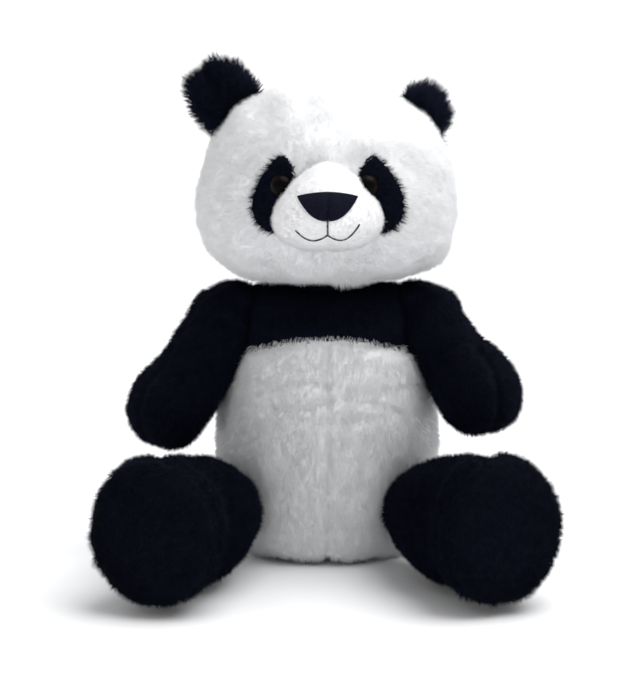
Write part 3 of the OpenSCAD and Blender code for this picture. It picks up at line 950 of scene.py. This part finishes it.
def build_neck():
    """The short dark neck between the yoke and the chin."""
    skin = padded_skin("neck_skin", ("neck_stuffing",), (), voxel=3 * MM, inset=1 * MM, groove=0,
                       lumps=0, seed=6)
    wear(skin, black_backing)
    follow = rides("neck")
    grow_pile(skin, BLACK_PILE, black_pile, follow, down_flow, seed=14)
    follow(skin)


# ---------------------------------------------------------------- head

FLOW_AWAY = 0.9
FLOW_DOWN = 0.35


def face_flow(points):
    """Away from the muzzle, and downwards."""
    away = unit(points - np.array(muzzle_mid))
    return away * FLOW_AWAY - UP * FLOW_DOWN


def beside_patch(place, normal, corner):
    """True where the head's own white pile shows."""
    return ~under_patch(place, normal)


def build_head():
    """The head's skin with its white pile, and the two dark eye patches on it."""
    skin = padded_skin("head_skin", HEAD_PANELS, ("head_stuffing",), groove=0.3 * MM, lumps=1.5 * MM, seed=5)
    wear(skin, white_backing)
    follow = rides("head")
    beside_muzzle = on_skin(skin, clear_of(("muzzle_skin",), BARE_GAP))
    grow_pile(skin, WHITE_PILE, white_pile, follow, face_flow, both(beside_muzzle, beside_patch), seed=21)
    for side in SIDES:
        build_patch(skin, side, both(beside_muzzle, under_patch))
    follow(skin)


PATCH_THICK = 0.6 * MM
PATCH_LIFT = 0.4 * MM
PATCH_SEED = 22


def build_patch(head, side, test):
    """The dark patch round an eye: its cloth laid on the head's skin, and its pile."""
    node = f"eye_patch_{side}"
    low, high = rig.box(node)
    middle = (low.x + high.x) / 2

    def close(place):
        return (np.abs(place[:, 0] - middle) < high.x - low.x) & (place[:, 1] < high.y + PATCH_REACH)

    points, normals, tri = points_of(head), normals_of(head), triangles_of(head)
    centre = points[tri].mean(1)
    near = close(centre)
    near_index = np.flatnonzero(near)
    inside = under_patch(centre[near], unit(normals[tri[near]].mean(1)))
    tri = tri[near_index[inside]]
    used, tri = np.unique(tri, return_inverse=True)
    tri = tri.reshape(-1, 3)
    obj = mesh_object(f"{node}_cloth", points[used] + normals[used] * (PATCH_THICK + PATCH_LIFT), tri)
    with_modifier(obj, "SOLIDIFY", thickness=PATCH_THICK, offset=-1)
    wear(obj, black_backing)
    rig.replaces(obj, node)
    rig.ride(obj, "head")
    rng = np.random.default_rng(PATCH_SEED)
    place, normal, corner = sample_skin(head, PATCH_PILE.per_mm2, rng)
    near = close(place)
    place, normal, corner = place[near], normal[near], corner[near]
    chosen = test(place, normal, corner)
    place, normal = place[chosen], normal[chosen]
    pile = strand_mesh(f"{node}_pile", place + normal * (PATCH_THICK + PATCH_LIFT), normal, face_flow(place),
                       np.full(len(place), PATCH_PILE.length), PATCH_PILE, rng)
    wear(pile, black_pile)
    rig.ride(pile, "head")


MUZZLE_VOXEL = 1.6 * MM
MUZZLE_SMOOTHING = 8
MUZZLE_LUMPS = 0.35 * MM
MUZZLE_LUMP_SIZE = 22 * MM
CHIN_SEAM = 0.9 * MM      # depth of the seam under the nose
CHIN_SEAM_WIDTH = 1.6 * MM


def build_muzzle():
    """The padded muzzle in short-napped velour, with a seam down from its middle."""
    skin = solid_from_nodes("muzzle", ("muzzle_skin", "muzzle_stuffing"), MUZZLE_VOXEL)
    with_modifier(skin, "SMOOTH", factor=SMOOTH_SHARE, iterations=MUZZLE_SMOOTHING)
    points = points_of(skin)
    seam = CHIN_SEAM * bell(points[:, 0], CHIN_SEAM_WIDTH) * (points[:, 2] < muzzle_mid.z)
    sunk = MUZZLE_LUMPS * noise_field(points, MUZZLE_LUMP_SIZE, seed=8) + seam
    set_points(skin, points - normals_of(skin) * sunk[:, None])
    smooth_shading(skin)
    wear(skin, velour)
    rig.padded(skin, fill=0.9)
    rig.replaces(skin, "muzzle_skin", "muzzle_stuffing")
    skin_facts[skin.name] = (("muzzle_skin",), *seam_distances(points, ("muzzle_skin",)))
    follow = rides("head")
    grow_pile(skin, NAP, velour, follow, face_flow, ending="nap", seed=23)
    follow(skin)
    return skin


FACE_RAY_Y = -300 * MM    # rays at the face start here, in front of the toy


def on_muzzle(tree, x, z):
    """The point of the muzzle's front at x and z, and the way that the surface faces there."""
    place, normal, _, _ = tree.ray_cast(Vector((x, FACE_RAY_Y, z)), Vector(-FORWARD))
    return np.array(place), np.array(normal)


NOSE_PAD = 3.2 * MM
NOSE_ROWS = 17
NOSE_COLUMNS = 29
NOSE_SHOULDER = 0.18     # share of the nose's height that its top edge falls towards the tips
NOSE_ROUND = 2.3         # how full its lower edge is: 1 is straight, and more is rounder
NOSE_EDGE = 0.2 * MM     # height of the leaf at its tips
NOSE_FRONT = 0.5 * MM    # the cloth's front and back, from the muzzle's surface
NOSE_BACK = 0.3 * MM
PAD_ROUND = 0.6          # how quickly the padding rises from the upper and lower edges: less is quicker
TIP_ROUND = 0.7          # and from the pointed sides
TIP_REACH = 2.5          # how far out the padding stays full
NOSE_FOLD = (0.5, 1.1 * MM)       # share of the padding lost in the middle fold, and the fold's width
NOSTRIL_FOLD = (0.2, 0.4, 0.09)   # the same beside it, with its place and width as shares of half the nose


def nose_padding(u, v, half):
    """The padding's height at u across and v down the leaf: none at the edges, less in the folds."""
    pad = NOSE_PAD * max(0, math.sin(math.pi * v)) ** PAD_ROUND * (1 - abs(u) ** TIP_REACH) ** TIP_ROUND
    loss, width = NOSE_FOLD
    nostril_loss, nostril_at, nostril_width = NOSTRIL_FOLD
    fold = 1 - loss * bell(u * half, width) - nostril_loss * bell(abs(u) - nostril_at, nostril_width)
    return pad * fold


def build_nose(tree):
    """A padded leaf of cloth with pointed sides, folded down the middle."""
    low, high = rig.box("nose")
    half = (high.x - low.x) / 2
    tall = high.z - low.z
    front, back = [], []
    for v in np.linspace(0, 1, NOSE_ROWS):
        front_row, back_row = [], []
        for u in np.linspace(-1, 1, NOSE_COLUMNS):
            top = high.z - NOSE_SHOULDER * tall * u * u
            bottom = top - tall * (1 - abs(u) ** NOSE_ROUND) - NOSE_EDGE
            place, normal = on_muzzle(tree, u * half, top + (bottom - top) * v)
            front_row.append(place + normal * (NOSE_FRONT + nose_padding(u, v, half)))
            back_row.append(place - normal * NOSE_BACK)
        front.append(front_row)
        back.append(back_row)
    obj = sheet_solid("nose_leaf", np.array(front), np.array(back))
    wear(obj, nose_cloth)
    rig.replaces(obj, "nose")
    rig.ride(obj, "head")


MOUTH_THREAD = 0.5 * MM
THREAD_PROUD = 0.4       # share of its radius that the thread's middle stands off the muzzle
LINE_POINTS = 8
SMILE_POINTS = 18
SMILE_DIP = 0.3          # shares of the height from the mouth's lowest point to the nose
SMILE_LEFT = 0.2
SMILE_RIGHT = 0.5


def build_mouth(tree):
    """The mouth: a thread down from the nose, and a smile to each side."""
    low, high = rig.box("mouth_stitches")
    nose_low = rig.box("nose")[0].z
    half = (high.x - low.x) / 2
    tall = nose_low - low.z
    fork = low.z + tall * SMILE_DIP

    def lay(points):
        path = []
        for x, z in points:
            place, normal = on_muzzle(tree, x, z)
            path.append(place + normal * MOUTH_THREAD * THREAD_PROUD)
        return thread_along("thread", path, MOUTH_THREAD)

    threads = [lay([(0, z) for z in np.linspace(nose_low + 1 * MM, fork, LINE_POINTS)])]
    for sense, rise in ((-1, SMILE_LEFT), (1, SMILE_RIGHT)):
        smile = []
        for t in np.linspace(0, 1, SMILE_POINTS):
            drop = tall * (SMILE_DIP * math.sin(math.pi * t) - rise * t ** 3)
            smile.append((sense * half * t, fork - drop))
        threads.append(lay(smile))
    obj = joined("mouth_thread", threads)
    wear(obj, thread)
    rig.replaces(obj, "mouth_stitches")
    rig.ride(obj, "head")


def build_eyes():
    """The eyes and their washers are hard plastic, and keep their CAD shape."""
    for side in SIDES:
        for node, finish in ((f"eye_{side}", eye_plastic(side)), (f"eye_washer_{side}", washer_plastic)):
            obj = frame["nodes"][node]
            obj.data.materials.clear()
            obj.data.materials.append(finish.material)


# ---------------------------------------------------------------- limbs

LIMB_DOWN = 0.25


def along_flow(way):
    """Along the limb, and a little downwards."""
    return lambda points: np.tile(np.array(way), (len(points), 1)) - LIMB_DOWN * UP


SHOULDER_LIFT = 9 * MM    # how far the top of an arm swells towards the chin
SHOULDER_RISE = 10 * MM   # its swelling begins over this height
UPPER_ARM_AT = 32 * MM    # the fullest part of an upper arm, from the joint
UPPER_ARM_SWELL = 5 * MM
ARM_WIDTH = 20 * MM       # that swelling fades to the inner side over this width


def shoulder_shape(side, way):
    """The top of the shoulder swells up towards the chin, and the upper arm outwards."""
    root = np.array(joint_at[f"arm_{side}"])
    middle = root + UPPER_ARM_AT * np.array(way)
    outwards = unit(np.array([np.sign(root[0]), 0.0, 1.0]))

    def shape(points):
        above = np.clip((points[:, 2] - root[2]) / SHOULDER_RISE, 0, 1)
        outside = np.clip(0.5 + (points - middle) @ outwards / ARM_WIDTH, 0, 1)
        shoulder = SHOULDER_LIFT * above * bell(np.linalg.norm(points - root, axis=1), SHOULDER_REACH)
        upper = UPPER_ARM_SWELL * outside * bell(np.linalg.norm(points - middle, axis=1), SHOULDER_REACH)
        return -(shoulder + upper)

    return shape


BEND_BEFORE = 12 * MM     # a limb's skin bends from this far before its joint
BEND_AFTER = 26 * MM      # to this far after it
LIMB_GROOVE = 3 * MM
LIMB_PILE_SEED = 30       # added to a limb's own seed


def build_limb(kind, side, panels, tip_node, seed):
    """An arm or a leg: its skin and its dark pile, which bend out of the body."""
    body = f"{kind}_{side}"
    way = (box_centre(tip_node) - joint_at[body]).normalized()
    shape = shoulder_shape(side, way) if kind == "arm" else None
    follow = bends("torso", body, way, BEND_BEFORE, BEND_AFTER)
    skin = padded_skin(f"{body}_skin", panels, (f"{body}_stuffing",), groove=LIMB_GROOVE, shape=shape,
                       seed=seed)
    wear(skin, black_backing)
    outside = on_skin(skin, clear_of(("torso_stuffing",), ROOT_GAP))
    grow_pile(skin, BLACK_PILE, black_pile, follow, along_flow(way), outside,
              seed=seed + LIMB_PILE_SEED)
    follow(skin)


def build_limbs():
    for number, side in enumerate(SIDES):
        arm = tuple(f"arm_{side}_{part}" for part in ("front", "back"))
        leg = tuple(f"leg_{side}_{part}" for part in ("inner", "outer", "sole"))
        build_limb("arm", side, arm, arm[0], 7 + number)
        build_limb("leg", side, leg, leg[2], 9 + number)


FOLD_AT = 1 * MM          # the fold's place beside the ear's middle
FOLD_WIDTH = 3.2 * MM
FOLD_EDGE = 1.5 * MM      # how sharply it stops at the back panel
NOTCH_FROM = 0.6          # share of the ear's height where its notch begins


def ear_fold(body, way, depth, notch):
    """A fold down the front of an ear, and a notch in its top edge."""
    root = np.array(joint_at[body])
    front = unit(np.array(box_centre(f"{body}_front") - box_centre(f"{body}_back")))
    way = np.array(way)
    side_way = np.cross(way, front)

    def shape(points):
        local = points - root
        along, across = local @ way, local @ side_way
        height = along / along.max()
        faces_front = 0.5 + 0.5 * np.tanh(local @ front / FOLD_EDGE)
        in_notch = np.clip((height - NOTCH_FROM) / (1 - NOTCH_FROM), 0, 1)
        middle = bell(across - FOLD_AT, FOLD_WIDTH)
        return middle * (depth * faces_front * np.clip(height, 0, 1) + notch * in_notch)

    return shape


EAR_SINK = 6 * MM         # how far an ear's root reaches down into the head's pile
EAR_STRETCH = 14 * MM     # the length of ear that stretches to do so
EAR_BEND_BEFORE = 4 * MM
EAR_BEND_AFTER = 10 * MM


def build_ear(side, depth, notch):
    """An ear of longer dark pile, with a fold this deep and a notch this deep."""
    body = f"ear_{side}"
    panels = (f"{body}_front", f"{body}_back")
    way = (box_centre(panels[0]) - joint_at[body]).normalized()
    follow = bends("head", body, way, EAR_BEND_BEFORE, EAR_BEND_AFTER)
    skin = padded_skin(f"{body}_skin", panels, (), voxel=3 * MM, inset=1.5 * MM, groove=0, lumps=0.4 * MM,
                       shape=ear_fold(body, way, depth, notch), fill=0.6, seed=7)
    wear(skin, black_backing)
    root = np.array(joint_at[body])
    points = points_of(skin)
    along = (points - root) @ np.array(way)
    share = np.clip(1 - (along - along.min()) / EAR_STRETCH, 0, 1)
    set_points(skin, points - np.array(way) * EAR_SINK * share[:, None])
    grow_pile(skin, EAR_PILE, black_pile, follow, lambda p: unit(p - root), seed=41)
    follow(skin)


# ---------------------------------------------------------------- stage

FLOOR_HALF = 100         # the floor reaches this far each way
SUN_STRENGTH = 2.7
SUN_SPREAD = 55          # degrees
SUN_FROM = (0.4, -0.05, 1.0)
SKY_STRENGTH = 0.7


def build_stage():
    """A pale floor, and a wide soft light from above, a little to the right."""
    scene = bpy.context.scene
    h = FLOOR_HALF
    floor = mesh_object("floor", [(-h, -h, 0), (h, -h, 0), (h, h, 0), (-h, h, 0)], [(0, 1, 2, 3)])
    floor.location.z = FLOOR_Z
    paper = cloth("floor", None, (0.895, 0.9, 0.91), (0.905, 0.91, 0.92), 0.5, roughness=0.7)
    floor.data.materials.append(paper.material)
    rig.stage(floor)
    world = bpy.data.worlds.new("studio")
    scene.world = world
    world.use_nodes = True
    world.node_tree.nodes["Background"].inputs["Color"].default_value = (1, 1, 1, 1)
    world.node_tree.nodes["Background"].inputs["Strength"].default_value = SKY_STRENGTH
    scene.view_settings.view_transform = "Standard"
    light = bpy.data.lights.new("softbox", "SUN")
    light.energy = SUN_STRENGTH
    light.angle = math.radians(SUN_SPREAD)
    obj = bpy.data.objects.new("softbox", light)
    scene.collection.objects.link(obj)
    obj.rotation_euler = (-Vector(SUN_FROM)).to_track_quat("-Z", "Y").to_euler()
    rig.stage(obj)


CAMERA_BACK = 1.3
CAMERA_UP = 0.33
AIM = Vector((-4.1 * MM, 0, 129 * MM))
VIEW_HEIGHT = 0.396      # what the camera sees from top to bottom at the toy


def build_camera():
    """The camera, straight in front and a little above, framed on the seated toy."""
    camera = bpy.data.cameras.new("camera")
    obj = bpy.data.objects.new("camera", camera)
    bpy.context.scene.collection.objects.link(obj)
    obj.location = (AIM.x, -CAMERA_BACK, CAMERA_UP)
    obj.rotation_euler = (AIM - obj.location).to_track_quat("-Z", "Y").to_euler()
    camera.lens = camera.sensor_width * (AIM - obj.location).length / VIEW_HEIGHT
    bpy.context.scene.camera = obj


def write_sizes():
    """Writes the CAD box and the box of what shows to extents.json."""
    with open("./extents.json", "w") as out:
        json.dump({"cad": [list(v) for v in cad_bounds], "visual": [list(v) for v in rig.bounds()]}, out)


build_torso()
build_care_label()
build_tail()
build_neck()
build_head()
muzzle_tree = tree_of(build_muzzle())
build_nose(muzzle_tree)
build_mouth(muzzle_tree)
build_eyes()
build_limbs()
build_ear("left", 2.2 * MM, 4.5 * MM)
build_ear("right", 1.0 * MM, 0.0)
build_stage()
build_camera()
write_sizes()
